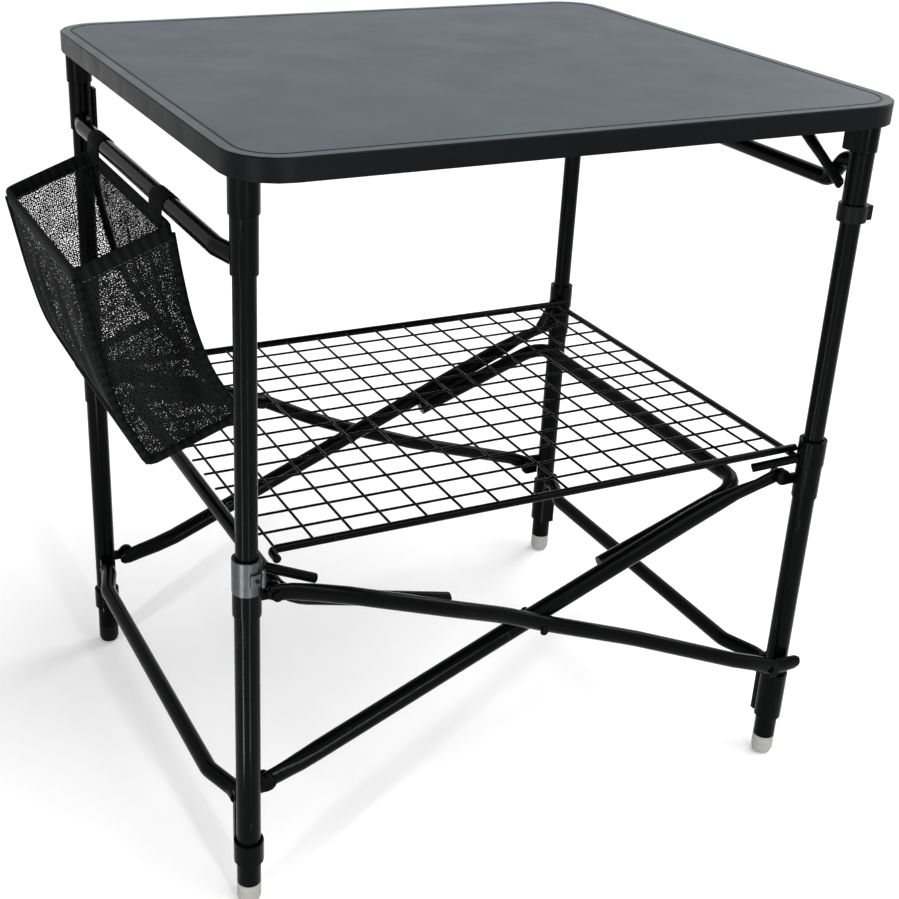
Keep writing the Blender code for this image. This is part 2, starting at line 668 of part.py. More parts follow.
def make_strap(tag, y_low, y_high):
    """A webbing loop round the bar with a tail down to the inner rim of the pouch."""
    name = f"pouch_strap_{tag}"
    inner, outer = UPPER_BAR_RADIUS + 0.0005, UPPER_BAR_RADIUS + 0.0018
    loops = []
    for radius, y in ((outer, y_low), (outer, y_high), (inner, y_high), (inner, y_low)):
        loops.append([(LEFT_BAR_X + px, y, LEFT_BAR_Z + py) for px, py, _ in circle(radius, 0)])
    loop = loft(name, loops, "black_mesh_fabric", ring=True)
    low = (-0.3078, y_low, POUCH_RIM[1][1] + CLEAR)
    tail = box(f"tail_{tag}", low, (-0.3063, y_high, LEFT_BAR_Z - 0.0040), "black_mesh_fabric")
    return combine(loop, tail)


# Assembly


def empty(name, place, parent=None):
    obj = bpy.data.objects.new(name, None)
    obj.empty_display_size = 0.03
    bpy.context.scene.collection.objects.link(obj)
    obj.parent = parent
    obj.location = Vector(place) - (parent_place(parent) if parent else Vector())
    return obj


def parent_place(obj):
    place = Vector()
    while obj:
        place += obj.location
        obj = obj.parent
    return place


def carry(axis, objects):
    """Hangs objects on the empty at their joint, keeping their places on the stand."""
    origin = parent_place(axis) - parent_place(axis_root(axis))
    for obj in objects:
        obj.parent = axis
        obj.location = obj.location - origin


def axis_root(obj):
    while obj.parent:
        obj = obj.parent
    return obj


def helpers_of(obj):
    found = []
    for modifier in obj.modifiers:
        found.append(modifier.object)
        found += helpers_of(modifier.object)
    return found


def with_helpers(objects):
    found = []
    for obj in objects:
        found += [obj] + helpers_of(obj)
    return found


def build():
    clear_scene()
    stand = empty("stand", (0, 0, 0))
    fold = empty("fold_axis", (-PIVOT_X, 0, LOWER_PIVOT_Z), stand)
    crossing = empty("crossing_axis", (0, 0, CENTRE_PIVOT_Z), fold)
    right_foot = empty("right_frame_axis", (PIVOT_X, 0, LOWER_PIVOT_Z), crossing)
    left_slide = empty("left_collars_axis", (-PIVOT_X, 0, UPPER_PIVOT_Z), crossing)
    right_slide = empty("right_collars_axis", (PIVOT_X, 0, UPPER_PIVOT_Z), fold)
    shelf_lift = empty("shelf_lift_axis", (0, 0, SHELF_Z), left_slide)
    lever_axis = empty("lock_lever_axis", lever_hinge(), left_slide)
    pouch_axis = empty("pouch_swing_axis", (LEFT_BAR_X, 0, LEFT_BAR_Z), stand)
    top_lift = empty("tabletop_lift_axis", (0, 0, TOP_HEIGHT - TOP_THICKNESS), stand)

    carry(top_lift, with_helpers(make_tabletop()))
    bars = make_bars()
    carry(stand, with_helpers([bars[0], bars[2], make_hanger_plate()]))
    carry(right_foot, with_helpers([bars[1], bars[3]]))
    for end, sy in (("front_right", -1), ("rear_right", 1)):
        carry(right_foot, with_helpers([make_strut(end, sy), make_clip(end, sy)]))
    for tag, (sx, sy) in CORNERS.items():
        carry(stand if sx < 0 else right_foot, with_helpers(make_leg(tag, sx, sy)))
        slide = left_slide if sx < 0 else right_slide
        carry(slide, with_helpers([make_collar(tag, sx, sy), make_stay(tag, sx, sy)]))
    carry(left_slide, [make_lock_collar()])
    carry(right_slide, [make_shelf_support()])
    carry(lever_axis, with_helpers([make_lock_lever()]))
    carry(shelf_lift, with_helpers([make_shelf()]))
    arms = make_arms()
    outer_bar, inner_bar = make_crossbars()
    carry(fold, with_helpers(arms["inner"] + [inner_bar, make_centre_pin("front", -1), make_centre_pin("rear", 1)]))
    carry(crossing, with_helpers(arms["outer"] + [outer_bar]))
    carry(pouch_axis, with_helpers(make_pouch()))
    stand.location.x = STAND_X


build()
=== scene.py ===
# %% [markdown]
# # Dressing a folding camp kitchen stand
#
# The real object is a light stand for a camp cooker: a grey laminated board with a moulded dark edge
# sits on two black tube frames, two pairs of crossed arms join the frames, a welded wire shelf lies
# between the sliding collars, and an open net pouch hangs on the left bar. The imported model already
# holds each rigid part at its real size and in its real place. This lesson gives every part its
# finish, and makes what a plain solid can't show: the thin round wires, the net cloth and its tape.

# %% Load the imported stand
import math

import bmesh
import bpy
from mathutils import Matrix, Vector, noise


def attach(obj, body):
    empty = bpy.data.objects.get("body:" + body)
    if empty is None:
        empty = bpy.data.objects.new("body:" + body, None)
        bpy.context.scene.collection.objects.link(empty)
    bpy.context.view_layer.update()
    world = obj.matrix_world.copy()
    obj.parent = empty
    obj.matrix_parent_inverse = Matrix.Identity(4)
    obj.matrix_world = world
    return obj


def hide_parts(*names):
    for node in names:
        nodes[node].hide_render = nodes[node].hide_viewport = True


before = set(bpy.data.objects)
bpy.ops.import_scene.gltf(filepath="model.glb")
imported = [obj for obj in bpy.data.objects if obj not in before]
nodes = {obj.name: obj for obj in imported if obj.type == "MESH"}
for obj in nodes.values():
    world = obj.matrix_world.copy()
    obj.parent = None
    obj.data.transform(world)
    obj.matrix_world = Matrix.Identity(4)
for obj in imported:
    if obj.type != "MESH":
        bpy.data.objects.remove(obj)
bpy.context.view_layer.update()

# %% [markdown]
# ## Where things are
#
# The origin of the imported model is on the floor, in the middle of the outline that includes the
# pouch. The two frames stand a little to the right of it, so every place that was measured from the
# middle of the frames is moved by the same amount. Keeping that amount in one name is safer than
# adding it to each number by hand.

# %% Places shared by several pieces
STAND_X = 0.039
TOP_HEIGHT = 0.700
LIP_START = 0.6996
BOARD_UNDERSIDE = 0.6815
STRAIGHT_UP = Vector((0, 0, 1))
TO_REAR = Vector((0, 1, 0))


def on_stand(x, y, z):
    """A point measured from the middle of the frames, in the frame of the whole model."""
    return Vector((x + STAND_X, y, z))


# %% [markdown]
# ## Camera
#
# The stand was seen from the front left, from about a metre up and a metre and a half away. The lens
# comes from how fast the legs and the top's edges close up with distance, and the small shift says
# how far the middle of the lens lies from the middle of the picture. A camera could also be aimed
# with a Track To constraint, but a fixed matrix says exactly how it was solved.

# %% Set the camera
PHOTO_WIDTH = 899
FOCAL_PIXELS = 1503.905
SENSOR_MM = 36
LENS_CENTRE = (383.829, 437.482)
camera = bpy.data.objects.new("camera", bpy.data.cameras.new("camera"))
bpy.context.scene.collection.objects.link(camera)
camera.data.sensor_width = SENSOR_MM
camera.data.lens = SENSOR_MM * FOCAL_PIXELS / PHOTO_WIDTH
camera.data.shift_x = (PHOTO_WIDTH / 2 - LENS_CENTRE[0]) / PHOTO_WIDTH
camera.data.shift_y = (LENS_CENTRE[1] - PHOTO_WIDTH / 2) / PHOTO_WIDTH
right = Vector((0.906146, -0.421741, 0.032160))
up = Vector((0.153932, 0.399644, 0.903653))
back = Vector((-0.393960, -0.813891, 0.427055))
place = on_stand(-0.658278, -1.242935, 0.976853)
camera.matrix_world = Matrix((
    (right.x, up.x, back.x, place.x),
    (right.y, up.y, back.y, place.y),
    (right.z, up.z, back.z, place.z),
    (0, 0, 0, 1),
))
bpy.context.scene.camera = camera
print("lens", round(camera.data.lens, 2), "mm")

# %% [markdown]
# ## Colour and node helpers
#
# Colours are easiest to pick as the hex values that a paint chart or an image editor shows. Those
# are stored with a curve for screens, while Blender's sockets want linear light, so one function
# does the change. A second one adds any node with its settings and its links, which keeps each
# recipe below as short as the list of nodes it stands for. The same four nodes come back in most
# recipes: Noise makes lumps, Map Range picks the part of the noise that counts, Mix blends two
# colours by it, and Bump raises the surface by it. A noise scale of PER_METRE / 3 makes lumps of
# about 3 mm, and MIDDLE is the span that a noise mostly keeps to.


# %% Helpers for materials
PER_METRE = 1000
MIDDLE = (0.3, 0.7)


def from_hex(text):
    """Linear red, green, blue and alpha from an sRGB hex value."""
    values = [int(text[i:i + 2], 16) / 255 for i in (1, 3, 5)]
    return tuple(v / 12.92 if v <= 0.04045 else ((v + 0.055) / 1.055) ** 2.4 for v in values) + (1.0,)


def in_use(sockets, name=None):
    """The first socket that a node's settings leave in use, and of that name if one is given."""
    return next(s for s in sockets if s.enabled and name in (None, s.name))


def plug(tree, node, inputs):
    """Fills inputs by name or number: a node or a socket is linked, and anything else is a value."""
    for key, value in inputs.items():
        socket = node.inputs[key] if isinstance(key, int) else in_use(node.inputs, key)
        if isinstance(value, bpy.types.Node):
            value = in_use(value.outputs)
        if isinstance(value, bpy.types.NodeSocket):
            tree.links.new(value, socket)
        else:
            socket.default_value = value


def add_node(tree, kind, inputs=None, **settings):
    """A new node with its settings, and with its inputs plugged."""
    node = tree.nodes.new(kind)
    for name, value in settings.items():
        setattr(node, name, value)
    plug(tree, node, inputs or {})
    return node


def start_finish(name):
    """A new material with its tree and its Principled BSDF."""
    made = bpy.data.materials.new(name)
    made.use_nodes = True
    return made, made.node_tree, made.node_tree.nodes["Principled BSDF"]


def on_object(tree, stretch=(1, 1, 1)):
    """The place on the piece in metres, with each axis scaled to stretch a pattern."""
    where = add_node(tree, "ShaderNodeTexCoord").outputs["Object"]
    return add_node(tree, "ShaderNodeMapping", {"Vector": where, "Scale": stretch})


def lumps(tree, where, size_mm, detail, span, reach):
    """Lumps of about size_mm: the part of the noise inside span is spread over reach."""
    cloud = add_node(tree, "ShaderNodeTexNoise", {
        "Vector": where, "Scale": PER_METRE / size_mm, "Detail": detail,
    })
    return add_node(tree, "ShaderNodeMapRange", {
        "Value": cloud, "From Min": span[0], "From Max": span[1], "To Min": reach[0], "To Max": reach[1],
    })


def speckle(tree, where, size_mm, detail, dark, pale):
    """Two colours that change place in lumps of about size_mm."""
    cloud = add_node(tree, "ShaderNodeTexNoise", {
        "Vector": where, "Scale": PER_METRE / size_mm, "Detail": detail,
    })
    return add_node(tree, "ShaderNodeMix", {
        "Factor": cloud, "A": from_hex(dark), "B": from_hex(pale),
    }, data_type="RGBA")


# %% [markdown]
# ## Powder-coated steel tube
#
# The frames, arms and wires are steel with a gloss black powder coat, baked on as melted dust. That
# leaves the faint ripple called orange peel, two or three millimetres from crest to crest, and a
# shine that is clear but not mirror sharp. Sliding and stacking the frames leaves pale rubs that run
# along the tubes. A plain black with a low roughness looks like wet ink, so the recipe adds the
# ripple as bump, varies the shine, and lets a few long rubs through.

# %% Make the powder coat
powder_coat, tree, shader = start_finish("gloss_powder_coated_steel")
where = on_object(tree)
along_tubes = on_object(tree, (1.0, 1.0, 0.12))
rubs = lumps(tree, along_tubes, 3.5, 4.0, (0.66, 0.74), (0.0, 0.55))
handled = lumps(tree, where, 70, 2.0, (0.45, 0.62), (0.0, 1.0))
worn = add_node(tree, "ShaderNodeMath", {0: rubs, 1: handled}, operation="MULTIPLY")
dusty = speckle(tree, where, 45, 2.0, "#020303", "#050606")
peel = add_node(tree, "ShaderNodeTexNoise", {"Vector": where, "Scale": PER_METRE / 2.4, "Detail": 2.0})
plug(tree, shader, {
    "Base Color": add_node(tree, "ShaderNodeMix", {
        "Factor": worn, "A": dusty, "B": from_hex("#2b3032"),
    }, data_type="RGBA"),
    "Roughness": lumps(tree, where, 14, 4.0, MIDDLE, (0.12, 0.20)),
    "Specular IOR Level": 0.04,
    "Normal": add_node(tree, "ShaderNodeBump", {
        "Height": peel, "Distance": 0.12 / PER_METRE, "Strength": 0.12,
    }),
})
print("finish:", powder_coat.name)

# %% [markdown]
# ## Laminate board
#
# The worktop is a thin board faced with a melamine laminate. The sheet is pressed against a steel
# plate with a fine texture, so it has a satin face with a grain of half a millimetre, which is drawn
# here at about one so that it shows. Hands and pans leave broad, faint smudges, mostly in the shine.
# Below the face the board is bare dark fibre, and the height on the piece tells which is which.

# %% Make the laminate
laminate, tree, shader = start_finish("satin_melamine_laminate")
where = on_object(tree)
on_face = add_node(tree, "ShaderNodeMapRange", {
    "Value": add_node(tree, "ShaderNodeSeparateXYZ", {0: where}).outputs["Z"],
    "From Min": BOARD_UNDERSIDE + 0.010,
    "From Max": BOARD_UNDERSIDE + 0.011,
})
face = add_node(tree, "ShaderNodeMix", {
    "Factor": lumps(tree, where, 1.1, 3.0, (0.35, 0.65), (0.0, 1.0)),
    "A": from_hex("#454e53"),
    "B": from_hex("#4d565b"),
}, data_type="RGBA")
cloudy = add_node(tree, "ShaderNodeMix", {
    "Factor": lumps(tree, where, 160, 2.0, (0.35, 0.65), (0.0, 0.2)),
    "A": face,
    "B": from_hex("#555e63"),
}, data_type="RGBA")
press = add_node(tree, "ShaderNodeTexNoise", {"Vector": where, "Scale": PER_METRE / 0.9, "Detail": 1.0})
plug(tree, shader, {
    "Base Color": add_node(tree, "ShaderNodeMix", {
        "Factor": on_face, "A": from_hex("#141617"), "B": cloudy,
    }, data_type="RGBA"),
    "Roughness": lumps(tree, where, 55, 4.0, MIDDLE, (0.42, 0.50)),
    "Specular IOR Level": 0.07,
    "Normal": add_node(tree, "ShaderNodeBump", {
        "Height": press, "Distance": 0.05 / PER_METRE, "Strength": 0.35,
    }),
})
print("finish:", laminate.name)

# %% [markdown]
# ## Moulded edge
#
# A strip of ABS is moulded round the board. Its upright band is nearly black with a light spark
# texture from the mould. Its top lip is dark grey plastic, yet it is painted nearly the grey of the
# worktop: most of that grey is a painted reflection of the bright room on the lip's glossy top. Two
# materials would need the faces to be split, so one material reads the height on the piece instead
# and changes colour in the last half millimetre, where the band turns over into the lip.

# %% Make the edge strip
edge_strip, tree, shader = start_finish("spark_textured_abs_edge")
where = on_object(tree)
lip_reflection_mask = add_node(tree, "ShaderNodeMapRange", {
    "Value": add_node(tree, "ShaderNodeSeparateXYZ", {0: where}).outputs["Z"],
    "From Min": LIP_START,
    "From Max": LIP_START + 0.0003,
})
spark = add_node(tree, "ShaderNodeTexNoise", {"Vector": where, "Scale": PER_METRE / 1.3, "Detail": 3.0})
band = add_node(tree, "ShaderNodeMix", {
    "Factor": spark, "A": from_hex("#040506"), "B": from_hex("#0b0e0f"),
}, data_type="RGBA")
# The lip's grey is mostly a painted reflection of the bright room, over a dark grey plastic.
lip_painted_reflection = add_node(tree, "ShaderNodeMix", {
    "Factor": spark, "A": from_hex("#434b50"), "B": from_hex("#4d565b"),
}, data_type="RGBA")
plug(tree, shader, {
    "Base Color": add_node(tree, "ShaderNodeMix", {
        "Factor": lip_reflection_mask, "A": band, "B": lip_painted_reflection,
    }, data_type="RGBA"),
    "Roughness": lumps(tree, where, 30, 3.0, MIDDLE, (0.30, 0.42)),
    "Specular IOR Level": 0.05,
    "Normal": add_node(tree, "ShaderNodeBump", {
        "Height": spark, "Distance": 0.06 / PER_METRE, "Strength": 0.4,
    }),
})
print("finish:", edge_strip.name)

# %% [markdown]
# ## Plated steel, two plastics and a painted groove shade
#
# The lock collar on the front left leg and its lever have no paint: mild steel with a zinc plate,
# rolled round the tube, so fine lines run round it. The feet are grey polyethylene caps with a waxy
# look, the clips under the top are black nylon, and the groove round the board gets a black bead of
# painted shade.
# Metals keep the default IOR, and their colour is their reflection. The other three take their look
# mostly from roughness and a soft, lumpy skin.

# %% Make the collar's plate
zinc_plate, tree, shader = start_finish("rolled_zinc_plated_steel")
lines = add_node(tree, "ShaderNodeTexNoise", {
    "Vector": on_object(tree, (0.10, 0.10, 1.0)), "Scale": PER_METRE / 0.9, "Detail": 4.0,
})
plug(tree, shader, {
    "Base Color": speckle(tree, on_object(tree), 9, 3.0, "#343839", "#4e5253"),
    "Metallic": 1.0,
    "Roughness": add_node(tree, "ShaderNodeMapRange", {
        "Value": lines, "From Min": 0.3, "From Max": 0.7, "To Min": 0.30, "To Max": 0.46,
    }),
    "Normal": add_node(tree, "ShaderNodeBump", {
        "Height": lines, "Distance": 0.04 / PER_METRE, "Strength": 0.5,
    }),
})
print("finish:", zinc_plate.name)


# %% Make the moulded plastics and the painted groove shade
def moulded_plastic(name, dark, pale, roughness, shine):
    """Solid plastic with a slightly mottled colour and a soft mould skin."""
    made, tree, shader = start_finish(name)
    where = on_object(tree)
    mould_skin = add_node(tree, "ShaderNodeTexNoise", {
        "Vector": where, "Scale": PER_METRE / 1.2, "Detail": 2.0,
    })
    plug(tree, shader, {
        "Base Color": speckle(tree, where, 5, 3.0, dark, pale),
        "Roughness": lumps(tree, where, 3, 3.0, MIDDLE, roughness),
        "Specular IOR Level": shine,
        "Normal": add_node(tree, "ShaderNodeBump", {
            "Height": mould_skin, "Distance": 0.08 / PER_METRE, "Strength": 0.35,
        }),
    })
    return made


foot_plastic = moulded_plastic("grey_polyethylene", "#84847f", "#a0a09c", (0.40, 0.58), 0.2)
clip_plastic = moulded_plastic("black_nylon", "#050606", "#0b0c0d", (0.32, 0.46), 0.06)
# A black bead for the groove round the board: painted shade, made with a plastic's recipe.
groove_shade_finish = moulded_plastic("black_painted_groove_shade", "#020303", "#060707", (0.45, 0.60), 0.1)
print("finishes:", [made.name for made in (foot_plastic, clip_plastic, groove_shade_finish)])

# %% [markdown]
# ## Net, tape and thread
#
# The pouch is polyester net: knitted yarn with more hole than thread, so the floor shows through it
# as bright speckle. The holes have to be real, because a grey picture of a net would stay grey when
# something dark stands behind it. They come from the Alpha socket, driven by cells laid out on the
# cloth's own UV map in metres. Real holes are near 1.2 mm, and they are drawn at 2 mm here. The
# hems are woven tape, and the straps are webbing. Their own weave is too fine to show, and what does
# show is the slow ripple that the stitches draw into them, about every 9 and every 13 mm.

# %% Make the net
NET_CELL_MM = 2.0
DRIFT_SCALE = 130.0
DRIFT_REACH = 0.0030
net_cloth, tree, shader = start_finish("knitted_polyester_net")
on_cloth = add_node(tree, "ShaderNodeUVMap", uv_map="cloth")
drift = add_node(tree, "ShaderNodeTexNoise", {"Vector": on_cloth, "Scale": DRIFT_SCALE, "Detail": 1.0})
pull = add_node(tree, "ShaderNodeVectorMath", {
    0: drift.outputs["Color"], 1: (DRIFT_REACH, DRIFT_REACH, 0.0),
}, operation="MULTIPLY")
pulled = add_node(tree, "ShaderNodeVectorMath", {0: on_cloth, 1: pull}, operation="ADD")
cells = add_node(tree, "ShaderNodeTexVoronoi", {
    "Vector": pulled, "Scale": PER_METRE / NET_CELL_MM, "Randomness": 0.55,
}, voronoi_dimensions="2D")
hole_size = lumps(tree, on_cloth, 14, 2.0, MIDDLE, (0.26, 0.37))
threads = add_node(tree, "ShaderNodeMath", {0: cells, 1: hole_size}, operation="GREATER_THAN")
plug(tree, shader, {
    "Base Color": speckle(tree, on_cloth, 6, 3.0, "#040505", "#0b0d0e"),
    "Roughness": add_node(tree, "ShaderNodeMapRange", {
        "Value": cells, "From Max": 0.8, "To Min": 0.9, "To Max": 0.7,
    }),
    "Alpha": threads,
    "Specular IOR Level": 0.1,
})
print("net drawn with holes every", NET_CELL_MM, "mm")

# %% Make the woven tape and the thread
WAVE_STEP = 2 * math.pi / 20  # from crest to crest of a Wave node, at a scale of 1


def woven(name, dark, pale, ripple_mm):
    """Woven tape: ripples across it from its UV map in metres, with fuzz that breaks them up."""
    made, tree, shader = start_finish(name)
    ripples = add_node(tree, "ShaderNodeTexWave", {
        "Vector": add_node(tree, "ShaderNodeUVMap", uv_map="cloth"),
        "Scale": PER_METRE * WAVE_STEP / ripple_mm,
        "Distortion": 1.2,
        "Detail": 2.0,
        "Detail Scale": 3.0,
    }, bands_direction="X").outputs["Fac"]
    fuzz = add_node(tree, "ShaderNodeTexNoise", {
        "Vector": on_object(tree), "Scale": PER_METRE / 1.6, "Detail": 4.0,
    })
    weave = add_node(tree, "ShaderNodeMath", {0: ripples, 1: fuzz}, operation="MULTIPLY")
    plug(tree, shader, {
        "Base Color": add_node(tree, "ShaderNodeMix", {
            "Factor": weave, "A": from_hex(dark), "B": from_hex(pale),
        }, data_type="RGBA"),
        "Roughness": add_node(tree, "ShaderNodeMapRange", {
            "Value": fuzz, "From Min": 0.3, "From Max": 0.7, "To Min": 0.70, "To Max": 0.88,
        }),
        "Specular IOR Level": 0.04,
        "Normal": add_node(tree, "ShaderNodeBump", {
            "Height": weave, "Distance": 0.35 / PER_METRE, "Strength": 0.6,
        }),
    })
    return made


binding_tape = woven("woven_polyester_tape", "#040505", "#141617", 8.7965)
strap_webbing = woven("ribbed_nylon_webbing", "#030404", "#0e1011", 12.5664)
sewing_thread, tree, shader = start_finish("bonded_nylon_thread")
plug(tree, shader, {
    "Base Color": speckle(tree, on_object(tree), 0.8, 2.0, "#141617", "#2a2e30"),
    "Roughness": 0.6,
})
print("finishes:", [made.name for made in (binding_tape, strap_webbing, sewing_thread)])

# %% [markdown]
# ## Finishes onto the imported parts
#
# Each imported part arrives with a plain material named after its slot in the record. Going through
# the parts by slot is shorter than naming each of them, and no part can be forgotten. The rear left
# foot is the exception: it is a darker cap than the other three.

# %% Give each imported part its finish
FINISH_OF_SLOT = {
    "gloss_black_paint": powder_coat,
    "grey_laminate": laminate,
    "dark_edge_trim": edge_strip,
    "bare_steel": zinc_plate,
    "grey_foot_plastic": foot_plastic,
    "black_plastic": clip_plastic,
    "black_mesh_fabric": strap_webbing,
}
for name, part in nodes.items():
    for i, old in enumerate(part.data.materials):
        slot = old.name.split(".")[0] if old else "gloss_black_paint"
        part.data.materials[i] = FINISH_OF_SLOT.get(slot, powder_coat)
nodes["foot_rear_left"].data.materials[0] = clip_plastic
print("packed parts dressed:", len(nodes))

# %% [markdown]
# ## Smooth round sides
#
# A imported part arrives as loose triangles, so its tubes show every facet. Smooth shading needs
# neighbours that share their points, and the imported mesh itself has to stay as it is. A Geometry
# Nodes modifier does all of it live: it drops the flat corner normals that came with the file, merges
# the doubles, shades all faces smooth, and keeps an edge sharp where two faces meet at a steep angle,
# as they do at the end of a tube.


# %% Geometry Nodes that shade round sides smooth
def start_tree(name, inputs):
    """A Geometry Nodes tree with named inputs, and the sockets that bring them in."""
    group = bpy.data.node_groups.new(name, "GeometryNodeTree")
    group.interface.new_socket(name="Geometry", in_out="OUTPUT", socket_type="NodeSocketGeometry")
    for label, kind in inputs.items():
        group.interface.new_socket(name=label, in_out="INPUT", socket_type="NodeSocket" + kind)
    return group, add_node(group, "NodeGroupInput").outputs


def set_inputs(modifier, values):
    """Sets the inputs of a Nodes modifier, which are reached by identifier and not by name."""
    for item in modifier.node_group.interface.items_tree:
        if item.name in values and item.in_out == "INPUT":
            modifier[item.identifier] = values[item.name]


def smooth_sides_tree():
    group, given = start_tree("smooth_round_sides", {
        "Geometry": "Geometry", "Gap": "Float", "Steepest": "Float",
    })
    bare = add_node(group, "GeometryNodeRemoveAttribute", {
        "Geometry": given["Geometry"], "Name": "custom_normal",
    })
    merged = add_node(group, "GeometryNodeMergeByDistance", {"Geometry": bare, "Distance": given["Gap"]})
    turn = add_node(group, "GeometryNodeInputMeshEdgeAngle")
    steep = add_node(group, "FunctionNodeCompare", {
        0: turn, 1: given["Steepest"],
    }, operation="GREATER_THAN")
    smooth = add_node(group, "GeometryNodeSetShadeSmooth", {
        "Geometry": merged, "Shade Smooth": True,
    }, domain="FACE")
    kept = add_node(group, "GeometryNodeSetShadeSmooth", {
        "Geometry": smooth, "Selection": steep, "Shade Smooth": False,
    }, domain="EDGE")
    add_node(group, "NodeGroupOutput", {"Geometry": kept})
    return group


smooth_sides = smooth_sides_tree()
for part in nodes.values():
    modifier = part.modifiers.new("smooth sides", "NODES")
    modifier.node_group = smooth_sides
    set_inputs(modifier, {"Gap": 0.00001, "Steepest": math.radians(35)})
print("parts shaded smooth:", len(nodes))

# %% [markdown]
# ## Mesh helpers
#
# Most of what follows is a loft: a row of loops with equal point counts and a skin between them. One
# function that builds the skin serves the rails, the net, the tape and the straps. It closes the
# ends or the ring, and it asks bmesh to turn the faces outwards, so nothing ends up inside out.


# %% A skin over loops
def new_piece(name, points, faces, finish, uvs=None):
    """A mesh object at the origin. The uvs, if given, hold one pair in metres for each face corner."""
    mesh = bpy.data.meshes.new(name)
    mesh.from_pydata([tuple(p) for p in points], [], faces)
    if uvs:
        layer = mesh.uv_layers.new(name="cloth")
        for face, pairs in zip(mesh.polygons, uvs):
            for corner, pair in zip(face.loop_indices, pairs):
                layer.data[corner].uv = pair
    mesh.shade_smooth()
    piece = bpy.data.objects.new(name, mesh)
    bpy.context.scene.collection.objects.link(piece)
    mesh.materials.append(finish)
    return piece


def turn_outwards(piece):
    shape = bmesh.new()
    shape.from_mesh(piece.data)
    bmesh.ops.recalc_face_normals(shape, faces=shape.faces)
    shape.to_mesh(piece.data)
    shape.free()
    return piece


def skin(name, loops, finish, ring=False):
    """Skins the loops with UVs in metres: along the row of loops, and round each loop."""
    count = len(loops[0])
    rows = len(loops)
    points = [p for loop in loops for p in loop]
    along = [0.0]
    for i in range(rows if ring else rows - 1):
        along.append(along[-1] + (loops[(i + 1) % rows][0] - loops[i][0]).length)
    round_loop = [0.0]
    for j in range(count):
        round_loop.append(round_loop[-1] + (loops[0][(j + 1) % count] - loops[0][j]).length)
    faces = []
    uvs = []
    for i in range(rows if ring else rows - 1):
        for j in range(count):
            a, b = i * count, (i + 1) % rows * count
            k = (j + 1) % count
            faces.append((a + j, a + k, b + k, b + j))
            u0, u1, v0, v1 = along[i], along[i + 1], round_loop[j], round_loop[j + 1]
            uvs.append(((u0, v0), (u0, v1), (u1, v1), (u1, v0)))
    if not ring:
        for start in (0, (rows - 1) * count):
            faces.append(tuple(range(start, start + count)))
            uvs.append([(0.0, v) for v in round_loop[:count]])
    return turn_outwards(new_piece(name, points, faces, finish, uvs))


def frames_along(path, ring, up):
    """Each point's tangent, side and up, where up stays as near as it can to the one that is asked."""
    found = []
    last = len(path) - 1
    for i, point in enumerate(path):
        before = path[i - 1] if ring or i else path[0]
        after = path[(i + 1) % len(path)] if ring or i < last else path[last]
        ahead = (after - before).normalized()
        wanted = up[i] if isinstance(up, list) else up
        level = (wanted - ahead * wanted.dot(ahead)).normalized()
        found.append((point, ahead, ahead.cross(level), level))
    return found


def sweep(name, path, profile, finish, up, ring=False):
    """Carries a profile of (side, up) points along the path."""
    loops = []
    for point, _, side, level in frames_along(path, ring, up):
        loops.append([point + side * a + level * b for a, b in profile])
    return skin(name, loops, finish, ring)


def oval(half_side, half_up, count=12):
    turns = [2 * math.pi * i / count for i in range(count)]
    return [(half_side * math.cos(a), half_up * math.sin(a)) for a in turns]


def flat_band(half_thick, top, bottom, steps=2):
    """A tape's section: thin sideways, with rounded edges at its top and bottom."""
    outline = []
    for centre, sign in ((top - half_thick, 1), (bottom + half_thick, -1)):
        for i in range(2 * steps + 1):
            a = math.pi * i / (2 * steps)
            outline.append((sign * half_thick * math.cos(a), centre + sign * half_thick * math.sin(a)))
    return outline


def smooth_line(points, steps):
    """A Catmull-Rom curve through the points."""
    points = [Vector(p) for p in points]
    full = [points[0] * 2 - points[1]] + points + [points[-1] * 2 - points[-2]]
    line = []
    for a, b, c, d in zip(full, full[1:], full[2:], full[3:]):
        for i in range(steps):
            t = i / steps
            line.append(0.5 * (2 * b + (c - a) * t + (2 * a - 5 * b + 4 * c - d) * t ** 2
                               + (3 * b - a - 3 * c + d) * t ** 3))
    line.append(points[-1])
    return line


# %% [markdown]
# ## The welded wire shelf
#
# Long wires run from left to right, and cross wires lie over them from front to rear, resistance
# welded at every crossing, so each pair sinks a little into the other. An Array modifier could
# repeat one wire, but a Geometry Nodes tree can also shift each copy by the millimetre or so that a
# welding jig lets through, with named inputs for the count, the step and the size.

# %% Geometry Nodes for a row of wires
SHELF_Z = 0.3515
WIRE_RADIUS = 0.00125
WELD_SINK = 0.0003
CROSS_WIRES = 15
CROSS_STEP = 0.036
FIRST_CROSS_X = -0.2590
LONG_WIRES = 13
LONG_STEP = 0.031
SHELF_LEFT = -0.270
SHELF_RIGHT_RAIL = 0.2735
RAIL_Y = 0.2165
CROSS_PLAY = Vector((0.0012, 0.0006, 0.0))
LONG_PLAY = Vector((0.0030, 0.0012, 0.0))
SHARP_FROM = math.radians(50)


